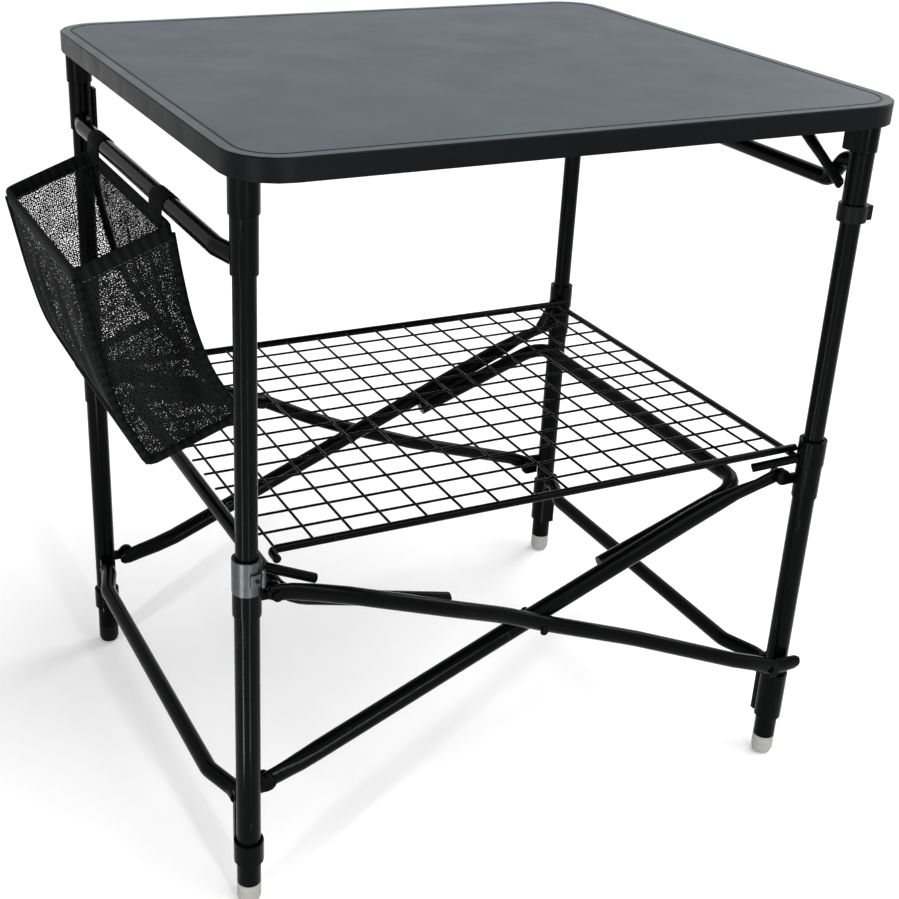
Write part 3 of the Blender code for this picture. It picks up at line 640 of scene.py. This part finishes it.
def wire_row_tree():
    group, given = start_tree("row_of_wires", {
        "First": "Vector", "Step": "Vector", "Run": "Vector", "Count": "Int",
        "Radius": "Float", "Play": "Vector", "Finish": "Material",
    })
    row = add_node(group, "GeometryNodeMeshLine", {
        "Count": given["Count"], "Start Location": given["First"], "Offset": given["Step"],
    }, mode="OFFSET")
    chance = add_node(group, "FunctionNodeRandomValue", {"Seed": 7}, data_type="FLOAT_VECTOR")
    centred = add_node(group, "ShaderNodeVectorMath", {0: chance, 1: (0.5, 0.5, 0.5)}, operation="SUBTRACT")
    shift = add_node(group, "ShaderNodeVectorMath", {0: centred, 1: given["Play"]}, operation="MULTIPLY")
    loose = add_node(group, "GeometryNodeSetPosition", {"Geometry": row, "Offset": shift})
    line = add_node(group, "GeometryNodeCurvePrimitiveLine", {"End": given["Run"]})
    section = add_node(group, "GeometryNodeCurvePrimitiveCircle", {
        "Resolution": 8, "Radius": given["Radius"],
    })
    wire = add_node(group, "GeometryNodeCurveToMesh", {
        "Curve": line, "Profile Curve": section, "Fill Caps": True,
    })
    copies = add_node(group, "GeometryNodeInstanceOnPoints", {"Points": loose, "Instance": wire})
    solid = add_node(group, "GeometryNodeRealizeInstances", {"Geometry": copies})
    dressed = add_node(group, "GeometryNodeSetMaterial", {"Geometry": solid, "Material": given["Finish"]})
    add_node(group, "NodeGroupOutput", {"Geometry": dressed})
    return group


def from_nodes(name, group, values, host=None):
    """Runs the tree on a host object and returns what it makes as a plain mesh."""
    if host is None:
        host = bpy.data.objects.new(name + "_host", bpy.data.meshes.new(name + "_host"))
        bpy.context.scene.collection.objects.link(host)
    modifier = host.modifiers.new("repeat", "NODES")
    modifier.node_group = group
    set_inputs(modifier, values)
    evaluated = host.evaluated_get(bpy.context.evaluated_depsgraph_get())
    mesh = bpy.data.meshes.new_from_object(evaluated)
    piece = bpy.data.objects.new(name, mesh)
    bpy.context.scene.collection.objects.link(piece)
    bpy.data.objects.remove(host, do_unlink=True)
    mesh.shade_smooth()
    mesh.set_sharp_from_angle(angle=SHARP_FROM)
    return turn_outwards(piece)


# %% Make both rows of wires
wire_row = wire_row_tree()
apart = WIRE_RADIUS - WELD_SINK
cross_reach = RAIL_Y - 0.0010
cross_wires = from_nodes("shelf_cross_wires", wire_row, {
    "First": on_stand(FIRST_CROSS_X, -cross_reach, SHELF_Z + apart),
    "Step": Vector((CROSS_STEP, 0, 0)),
    "Run": Vector((0, 2 * cross_reach, 0)),
    "Count": CROSS_WIRES,
    "Radius": WIRE_RADIUS,
    "Play": CROSS_PLAY,
    "Finish": powder_coat,
})
long_reach = LONG_STEP * (LONG_WIRES - 1) / 2
long_wires = from_nodes("shelf_long_wires", wire_row, {
    "First": on_stand(SHELF_LEFT, -long_reach, SHELF_Z - apart),
    "Step": Vector((0, LONG_STEP, 0)),
    "Run": Vector((SHELF_RIGHT_RAIL - SHELF_LEFT, 0, 0)),
    "Count": LONG_WIRES,
    "Radius": WIRE_RADIUS,
    "Play": LONG_PLAY,
    "Finish": powder_coat,
})
print("wires:", CROSS_WIRES, "across and", LONG_WIRES, "along")

# %% [markdown]
# ## The shelf's rails
#
# A thicker rod carries the wires at the front and at the rear. Its left end turns out and hooks over
# the stay on the collar, and its right end lies on the support rail. A thinner rod closes the grid
# at the right. A curve with a bevel would draw them too, but the sweep above closes the ends and
# keeps the mesh at the origin with no further steps.

# %% Make the rails
RAIL_RADIUS = 0.00375
HOOK_X = -0.2635
HOOK_REACH = 0.2335
RAIL_END = 0.2865
HOOK_BEND = 0.0070
BEND_STEPS = 6
END_ROD_RADIUS = 0.0019
rails = []
rail_section = oval(RAIL_RADIUS, RAIL_RADIUS, 14)
for end, side in (("front", -1), ("rear", 1)):
    path = [on_stand(HOOK_X, side * HOOK_REACH, SHELF_Z)]
    for i in range(BEND_STEPS + 1):
        a = math.radians(90 * i / BEND_STEPS)
        x = HOOK_X + HOOK_BEND * (1 - math.cos(a))
        y = RAIL_Y + HOOK_BEND * (1 - math.sin(a))
        path.append(on_stand(x, side * y, SHELF_Z))
    path.append(on_stand(RAIL_END, side * RAIL_Y, SHELF_Z))
    rails.append(sweep(f"shelf_rod_{end}", path, rail_section, powder_coat, STRAIGHT_UP))
right_path = [on_stand(SHELF_RIGHT_RAIL, y, SHELF_Z) for y in (-cross_reach, cross_reach)]
right_section = oval(END_ROD_RADIUS, END_ROD_RADIUS, 10)
rails.append(sweep("shelf_rod_right", right_path, right_section, powder_coat, STRAIGHT_UP))
for piece in [cross_wires, long_wires] + rails:
    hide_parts("shelf_grid")
    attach(piece, "shelf")
for piece in rails:
    piece.data.set_sharp_from_angle(angle=SHARP_FROM)
print("rails:", [piece.name for piece in rails])

# %% [markdown]
# ## The dark groove round the board
#
# A narrow dark line runs round the worktop, in the groove where the moulded edge laps over the
# laminate, and the groove is dark with shade. A groove that fine would need a cut through two
# imported parts, so a black bead of painted shade fills it instead: a flat oval carried round a
# rounded rectangle, standing a third of a millimetre proud.

# %% Lay the bead
SEAM_INSET = 0.0108
HALF_WIDTH, HALF_DEPTH, CORNER_RADIUS = 0.308, 0.272, 0.044
CORNER_STEPS = 12
reach = CORNER_RADIUS - SEAM_INSET
seam_path = []
for corner, (sx, sy) in enumerate(((1, 1), (-1, 1), (-1, -1), (1, -1))):
    centre_x = sx * (HALF_WIDTH - CORNER_RADIUS)
    centre_y = sy * (HALF_DEPTH - CORNER_RADIUS)
    for i in range(CORNER_STEPS + 1):
        a = math.radians(90 * corner + 90 * i / CORNER_STEPS)
        x, y = centre_x + reach * math.cos(a), centre_y + reach * math.sin(a)
        seam_path.append(on_stand(x, y, TOP_HEIGHT))
bead_section = oval(0.0009, 0.00035, 8)
# The bead is black as painted shade for the groove.
groove_shade_bead = sweep("tabletop_seam", seam_path, bead_section, groove_shade_finish, STRAIGHT_UP, ring=True)
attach(groove_shade_bead, "tabletop")
print("points along the seam:", len(seam_path))

# %% [markdown]
# ## The pin of the lock lever
#
# The plated lever that holds the front left collar turns on a small rivet. Its head is drawn as a
# low dome, lofted from four circles, that rides with the lever; it is black as painted shade for the
# hole in the rivet. The imported model leaves the head out, because it is only a millimetre high.

# %% Set the pin
LEVER_FACE_Y = -0.2498
PIN_X, PIN_Z = -0.2866, 0.3440
PIN_RADIUS = 0.0020
PIN_RINGS = ((0.0000, 1.0), (0.0005, 1.0), (0.0009, 0.8), (0.0011, 0.4))
pin_loops = [
    [
        on_stand(PIN_X + a, LEVER_FACE_Y - out, PIN_Z + b)
        for a, b in oval(share * PIN_RADIUS, share * PIN_RADIUS, 14)
    ]
    for out, share in PIN_RINGS
]
# The dome is black as painted shade for the rivet's hole.
lever_pin = skin("lever_pin", pin_loops, clip_plastic)
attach(lever_pin, "lock_lever")
print("pin stands out", PIN_RINGS[-1][0], "metres")

# %% [markdown]
# ## The shape of the pouch
#
# The pouch hangs by two straps, so its upper half drops almost straight and its weight swings the
# base in over the shelf's left end. Two curves hold that: outer wall and inner wall, each as the line
# that they draw when seen from the front. Everything on the pouch reads its place from the same
# three numbers, along the stand, across the pouch and down it, so hems can't part from the cloth.

# %% Curves of the two walls
OUTER_WALL = [(-0.387, 0.573), (-0.377, 0.525), (-0.368, 0.484), (-0.355, 0.440), (-0.331, 0.392)]
INNER_WALL = [(-0.306, 0.603), (-0.2985, 0.556), (-0.289, 0.512), (-0.272, 0.466), (-0.246, 0.424)]
POUCH_FRONT = -0.100
POUCH_REAR = 0.150
WALL_STEPS = 7
BELLY = 0.006
outer_line = smooth_line([(x, 0, z) for x, z in OUTER_WALL], WALL_STEPS)
inner_line = smooth_line([(x, 0, z) for x, z in INNER_WALL], WALL_STEPS)
DOWN_ROWS = len(outer_line) - 1
print("rows of cloth from rim to base:", DOWN_ROWS)


def pouch_point(along, across, row):
    """A point of the pouch: along is 0 to 1 from front to rear, and across from outside to inside."""
    outer, inner = outer_line[row], inner_line[row]
    line = outer.lerp(inner, across)
    down = row / DOWN_ROWS
    belly = BELLY * math.sin(math.pi * down) * math.sin(math.pi * across)
    y = POUCH_FRONT - belly + (POUCH_REAR - POUCH_FRONT + 2 * belly) * along
    return on_stand(line.x, y, line.z)


# %% [markdown]
# ## The net
#
# Four walls and a base are one closed cloth with an open top. Cloth pinned along its hem falls in
# soft upright folds that deepen towards the middle and die out at the taped edges. A cloth
# simulation could find such folds, yet on a pouch that its own weight pulls taut they are only a few
# millimetres deep, so they are written in: a slow wave, a faster one and some smooth noise that is
# the same in each run, all pushed along the wall's own normal.

# %% Build the net cloth
LONG_CELLS = 44
SHORT_CELLS = 16
LONG_SIDE = 0.25
SHORT_SIDE = 0.08
SLOW_FOLD, SLOW_LENGTH = 0.0040, 0.070
QUICK_FOLD, QUICK_LENGTH = 0.0008, 0.023
CREASE, CREASE_SCALE = 0.0040, 18.0


def ring_places():
    """Places round the pouch, from the outer front corner and back to it."""
    places = [(i / LONG_CELLS, 0.0) for i in range(LONG_CELLS)]
    places += [(1.0, i / SHORT_CELLS) for i in range(SHORT_CELLS)]
    places += [(1 - i / LONG_CELLS, 1.0) for i in range(LONG_CELLS)]
    places += [(0.0, 1 - i / SHORT_CELLS) for i in range(SHORT_CELLS)]
    return places


def fold_depth(place, row, point):
    """How far the cloth stands out from its smooth wall, in metres."""
    along, across = place
    down = row / DOWN_ROWS
    edge = math.sin(math.pi * (across if along in (0.0, 1.0) else along))
    room = min(1.0, 4 * edge) * math.sin(math.pi * min(1.0, down * 1.1)) ** 0.7
    run = across * SHORT_SIDE if along in (0.0, 1.0) else along * LONG_SIDE
    slow = SLOW_FOLD * math.sin(run * 2 * math.pi / SLOW_LENGTH + 1.3)
    quick = QUICK_FOLD * math.sin(run * 2 * math.pi / QUICK_LENGTH + 4 * down)
    return room * (slow + quick + CREASE * noise.noise(point * CREASE_SCALE))


ring = ring_places()
count = len(ring)
cloth_points = []
for row in range(DOWN_ROWS + 1):
    level = [pouch_point(along, across, row) for along, across in ring]
    for j, point in enumerate(level):
        ahead = (level[(j + 1) % count] - level[j - 1]).normalized()
        deeper = pouch_point(*ring[j], min(row + 1, DOWN_ROWS)) - pouch_point(*ring[j], max(row - 1, 0))
        outwards = ahead.cross(deeper.normalized()).normalized() * -1
        cloth_points.append(point + outwards * fold_depth(ring[j], row, point))
faces = []
uvs = []
ring_length = [0.0]
for j in range(count):
    step = pouch_point(*ring[(j + 1) % count], 0) - pouch_point(*ring[j], 0)
    ring_length.append(ring_length[-1] + step.length)
drop = [0.0]
for row in range(DOWN_ROWS):
    drop.append(drop[-1] + (outer_line[row + 1] - outer_line[row]).length)
for row in range(DOWN_ROWS):
    for j in range(count):
        k = (j + 1) % count
        a, b = row * count, (row + 1) * count
        faces.append((a + j, a + k, b + k, b + j))
        uvs.append(((ring_length[j], drop[row]), (ring_length[j + 1], drop[row]),
                    (ring_length[j + 1], drop[row + 1]), (ring_length[j], drop[row + 1])))

# %% Add the base and the thickness
BASE_SAG = 0.005
BASE_WRINKLE, WRINKLE_SCALE = 0.002, 30.0
BASE_UV = 0.30
YARN = 0.0005
base_start = DOWN_ROWS * count
base_index = {}
for j, (along, across) in enumerate(ring):
    base_index[round(along * LONG_CELLS), round(across * SHORT_CELLS)] = base_start + j
for i in range(1, LONG_CELLS):
    for k in range(1, SHORT_CELLS):
        along, across = i / LONG_CELLS, k / SHORT_CELLS
        sag = BASE_SAG * math.sin(math.pi * along) * math.sin(math.pi * across)
        point = pouch_point(along, across, DOWN_ROWS)
        wrinkle = BASE_WRINKLE * noise.noise(point * WRINKLE_SCALE) * math.sin(math.pi * across)
        base_index[i, k] = len(cloth_points)
        cloth_points.append(point - Vector((0, 0, sag + wrinkle)))
for i in range(LONG_CELLS):
    for k in range(SHORT_CELLS):
        cell = ((i, k), (i + 1, k), (i + 1, k + 1), (i, k + 1))
        faces.append(tuple(base_index[corner] for corner in cell))
        uvs.append([
            (BASE_UV + a * LONG_SIDE / LONG_CELLS, BASE_UV + b * SHORT_SIDE / SHORT_CELLS)
            for a, b in cell
        ])
net = turn_outwards(new_piece("pouch_net", cloth_points, faces, net_cloth, uvs))
thickness = net.modifiers.new("yarn", "SOLIDIFY")
thickness.thickness = YARN
thickness.offset = 0.0

# %% [markdown]
# ## Hem and edge tape
#
# The rim is bound with a wide tape folded over the net, and narrower tape covers the four upright
# corners and the edge of the base. Each tape is swept along points that the pouch already has. The
# wide one needs a thin upright section, so it is told which way is down the wall at every point.

# %% Make the tapes
HEM_HEIGHT = 0.015
HEM_OVER = 0.0012
HEM_LIFT = 0.0004
HEM_HALF = 0.0026
TAPE_HALF = 0.0036
BASE_HALF = 0.0042


def soften(path):
    """Rounds the corners of a ring by averaging each point with its neighbours, twice."""
    for _ in range(2):
        path = [
            (path[i - 1] + point * 2 + path[(i + 1) % len(path)]) / 4
            for i, point in enumerate(path)
        ]
    return path


rim = soften([pouch_point(along, across, 0) for along, across in ring])
below = soften([pouch_point(along, across, 1) for along, across in ring])
rim_up = [(a - b).normalized() for a, b in zip(rim, below)]
hem_path = [point + lift * HEM_LIFT for point, lift in zip(rim, rim_up)]
hem_section = flat_band(HEM_HALF, HEM_OVER, HEM_OVER - HEM_HEIGHT)
tapes = [sweep("pouch_hem", hem_path, hem_section, binding_tape, rim_up, ring=True)]
tape_section = oval(TAPE_HALF, TAPE_HALF * 0.8)
for end, along in (("front", 0), ("rear", 1)):
    for wall, across in (("outer", 0), ("inner", 1)):
        line = [pouch_point(along, across, row) for row in range(1, DOWN_ROWS + 1)]
        name = f"corner_tape_{end}_{wall}"
        tapes.append(sweep(name, line, tape_section, binding_tape, TO_REAR))
base_line = soften([pouch_point(along, across, DOWN_ROWS) for along, across in ring])
base_section = oval(BASE_HALF, BASE_HALF)
tapes.append(sweep("base_tape", base_line, base_section, binding_tape, STRAIGHT_UP, ring=True))
print("tapes:", len(tapes), "with a rim of", round(ring_length[-1], 3), "metres")

# %% [markdown]
# ## Stitches
#
# A lock stitch holds the hem, about four to the centimetre on the real one. Here each is drawn twice
# as long so that it shows. Each stitch is a short rounded bar that lies on the tape, and the tree
# below places them at an even step along any path that it is given, turned to follow it.


# %% Geometry Nodes for a line of stitches
def stitch_tree():
    group, given = start_tree("line_of_stitches", {
        "Path": "Geometry", "Step": "Float", "Length": "Float", "Thickness": "Float", "Thread": "Material",
    })
    seam = add_node(group, "GeometryNodeMeshToCurve", {"Mesh": given["Path"]})
    spots = add_node(group, "GeometryNodeCurveToPoints", {
        "Curve": seam, "Length": given["Step"],
    }, mode="LENGTH").outputs
    size = add_node(group, "ShaderNodeCombineXYZ", {
        "X": given["Thickness"], "Y": given["Thickness"], "Z": given["Length"],
    })
    bead = add_node(group, "GeometryNodeMeshIcoSphere", {"Radius": 0.5, "Subdivisions": 2})
    turn = add_node(group, "FunctionNodeAlignRotationToVector", {"Vector": spots["Tangent"]}, axis="Z")
    copies = add_node(group, "GeometryNodeInstanceOnPoints", {
        "Points": spots["Points"], "Instance": bead, "Rotation": turn, "Scale": size,
    })
    solid = add_node(group, "GeometryNodeRealizeInstances", {"Geometry": copies})
    dressed = add_node(group, "GeometryNodeSetMaterial", {"Geometry": solid, "Material": given["Thread"]})
    add_node(group, "NodeGroupOutput", {"Geometry": dressed})
    return group


# %% Sew the hem
STITCH_STEP = 0.0046
STITCH_LENGTH = 0.0034
THREAD_THICKNESS = 0.0007
SEAM_FROM_EDGE = 0.0036
stitches = stitch_tree()


def sew(name, path):
    """A closed line of stitches through a ring of points."""
    edges = [(i, i + 1) for i in range(len(path) - 1)] + [(len(path) - 1, 0)]
    mesh = bpy.data.meshes.new(name + "_seam")
    mesh.from_pydata([tuple(p) for p in path], edges, [])
    host = bpy.data.objects.new(name + "_seam", mesh)
    bpy.context.scene.collection.objects.link(host)
    return from_nodes(name, stitches, {
        "Step": STITCH_STEP,
        "Length": STITCH_LENGTH,
        "Thickness": THREAD_THICKNESS,
        "Thread": sewing_thread,
    }, host)


outside, inside = [], []
for point, _, side, level in frames_along(hem_path, True, rim_up):
    outside.append(point + side * HEM_HALF - level * (HEM_HEIGHT - SEAM_FROM_EDGE))
    inside.append(point - side * HEM_HALF - level * (HEM_HEIGHT - SEAM_FROM_EDGE))
seams = [sew("hem_stitches_outside", outside), sew("hem_stitches_inside", inside)]
print("stitch triangles:", sum(len(seam.data.polygons) for seam in seams))

# %% [markdown]
# ## Straps over the bar
#
# Two short lengths of webbing loop over the left upper bar and are sewn to the inner rim. Each is
# one ribbon with rounded selvedges, up the hem and most of the way round the bar.

# %% Make the straps
BAR_X, BAR_Z, BAR_RADIUS = -0.299, 0.614, 0.008
STRAP_HALF_WIDTH = 0.018
STRAP_HALF_THICK = 0.0004
STRAP_MIDDLES = (-0.066, 0.132)
TAIL_X, TAIL_DROP = -0.3088, 0.0095
BEND_X, BEND_RISE = -0.3083, 0.008
WRAP_START, WRAP_TURN, WRAP_STEPS = 182, 248, 14


def strap_ribbon(name, middle_y):
    """Webbing that climbs the inside of the hem and wraps round the bar."""
    radius = BAR_RADIUS + 0.0001 + STRAP_HALF_THICK
    low_z = INNER_WALL[0][1] - TAIL_DROP
    path = [on_stand(TAIL_X, middle_y, low_z), on_stand(BEND_X, middle_y, low_z + BEND_RISE)]
    for i in range(WRAP_STEPS + 1):
        a = math.radians(WRAP_START - WRAP_TURN * i / WRAP_STEPS)
        path.append(on_stand(BAR_X + radius * math.cos(a), middle_y, BAR_Z + radius * math.sin(a)))
    section = [(b, a) for a, b in flat_band(STRAP_HALF_THICK, STRAP_HALF_WIDTH, -STRAP_HALF_WIDTH)]
    loops = []
    for point, _, side, level in frames_along(path, False, TO_REAR):
        loops.append([point + level * a + side * b for a, b in section])
    return skin(name, loops, strap_webbing)


straps = [strap_ribbon(name, y) for name, y in zip(("strap_front", "strap_rear"), STRAP_MIDDLES)]
print("straps:", [strap.name for strap in straps])
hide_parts("pouch_strap_front")
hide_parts("pouch_strap_rear")
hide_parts("mesh_pouch")
for piece in [net] + tapes + seams + straps:
    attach(piece, "pouch")

# %% [markdown]
# ## Floor and light
#
# A plain pale floor and soft studio light let the black tubes read against white. A wide sun lamp
# with a large disc stands for a big overhead softbox, and a square lamp at the right fills the far
# side. Two tall area lamps, one at the left and one in front, draw the thin bright lines that run
# along gloss tubes. An upright tube shows the floor to a camera that looks down, so two low strips
# lie on the floor too, and the camera doesn't see them. The white world fills the shadows: it looks
# full white to the camera and in a shine, and gives only a part of that as light.

# %% Build the floor
FLOOR_LIFT = 0.14


def seen_rays(tree):
    """1 for rays that the camera, a shine or a clear thing sends, and 0 for rays that carry light."""
    rays = add_node(tree, "ShaderNodeLightPath").outputs
    direct = add_node(tree, "ShaderNodeMath", {
        0: rays["Is Camera Ray"], 1: rays["Is Glossy Ray"],
    }, operation="MAXIMUM")
    return add_node(tree, "ShaderNodeMath", {
        0: direct, 1: rays["Is Transmission Ray"],
    }, operation="MAXIMUM")


floor_paint, tree, shader = start_finish("white_studio_sweep")
lift = add_node(tree, "ShaderNodeMath", {0: seen_rays(tree), 1: FLOOR_LIFT}, operation="MULTIPLY")
plug(tree, shader, {
    "Base Color": from_hex("#f7f7f7"),
    "Roughness": 0.9,
    "Specular IOR Level": 0.1,
    "Emission Color": (1, 1, 1, 1),
    "Emission Strength": lift,
})
FLOOR_REACH = 14.0
FLOOR_Z = -0.0002
corners = [(x * FLOOR_REACH, y * FLOOR_REACH, FLOOR_Z) for x, y in ((-1, -1), (1, -1), (1, 1), (-1, 1))]
floor = new_piece("floor", corners, [(0, 1, 2, 3)], floor_paint)
print("floor reaches", FLOOR_REACH, "metres each way")

# %% Set the world and the lamps
world = bpy.data.worlds.new("studio")
world.use_nodes = True
WORLD_LIGHT = 0.42
tree = world.node_tree
plug(tree, tree.nodes["Background"], {
    "Color": (1, 1, 1, 1),
    "Strength": add_node(tree, "ShaderNodeMapRange", {"Value": seen_rays(tree), "To Min": WORLD_LIGHT}),
})
bpy.context.scene.world = world
bpy.context.scene.view_settings.view_transform = "Standard"


def add_lamp(name, kind, place, power, size, aim=None, turn=(0, 0, 0)):
    """A lamp that points at aim, or is turned as told. A sun's size is its angle in degrees."""
    lamp = bpy.data.lights.new(name, kind)
    lamp.energy = power
    if kind == "SUN":
        lamp.angle = math.radians(size)
    else:
        lamp.shape = "RECTANGLE"
        lamp.size, lamp.size_y = size
    holder = bpy.data.objects.new(name, lamp)
    holder.location = place
    if aim:
        turn = (Vector(aim) - Vector(place)).to_track_quat("-Z", "Y").to_euler()
    holder.rotation_euler = turn
    bpy.context.scene.collection.objects.link(holder)
    return holder


def add_floor_strip(name, start, bearing, power, size):
    """A low strip that shines up, from start along a bearing in degrees, unseen by the camera."""
    a = math.radians(bearing)
    middle = Vector(start) + Vector((math.cos(a), math.sin(a), 0)) * size[0] / 2
    strip = add_lamp(name, "AREA", middle, power, size, turn=(math.pi, 0, a))
    strip.visible_camera = False


add_lamp("overhead_softbox", "SUN", (1.5, -1.6, 4.0), 1.75, 50, aim=(0, 0, 0))
add_lamp("left_strip", "AREA", (-3.0, -1.8, 1.0), 60, (0.12, 2.2), aim=(0, 0, 0.4))
add_lamp("front_strip", "AREA", (-0.2, -3.0, 1.0), 40, (0.10, 2.2), aim=(0, 0, 0.4))
add_lamp("right_softbox", "AREA", (2.2, 0.8, 1.9), 26, (1.2, 1.2), aim=(0.2, 0, 0.7))
add_floor_strip("floor_strip_left", (-0.42, -0.34, 0.012), -150, 7, (1.5, 0.024))
add_floor_strip("floor_strip_front", (-0.25, -0.45, 0.012), -88, 2.6, (1.2, 0.014))
print("lamps:", [lamp.name for lamp in bpy.data.lights])

# %% Update the scene
bpy.context.view_layer.update()
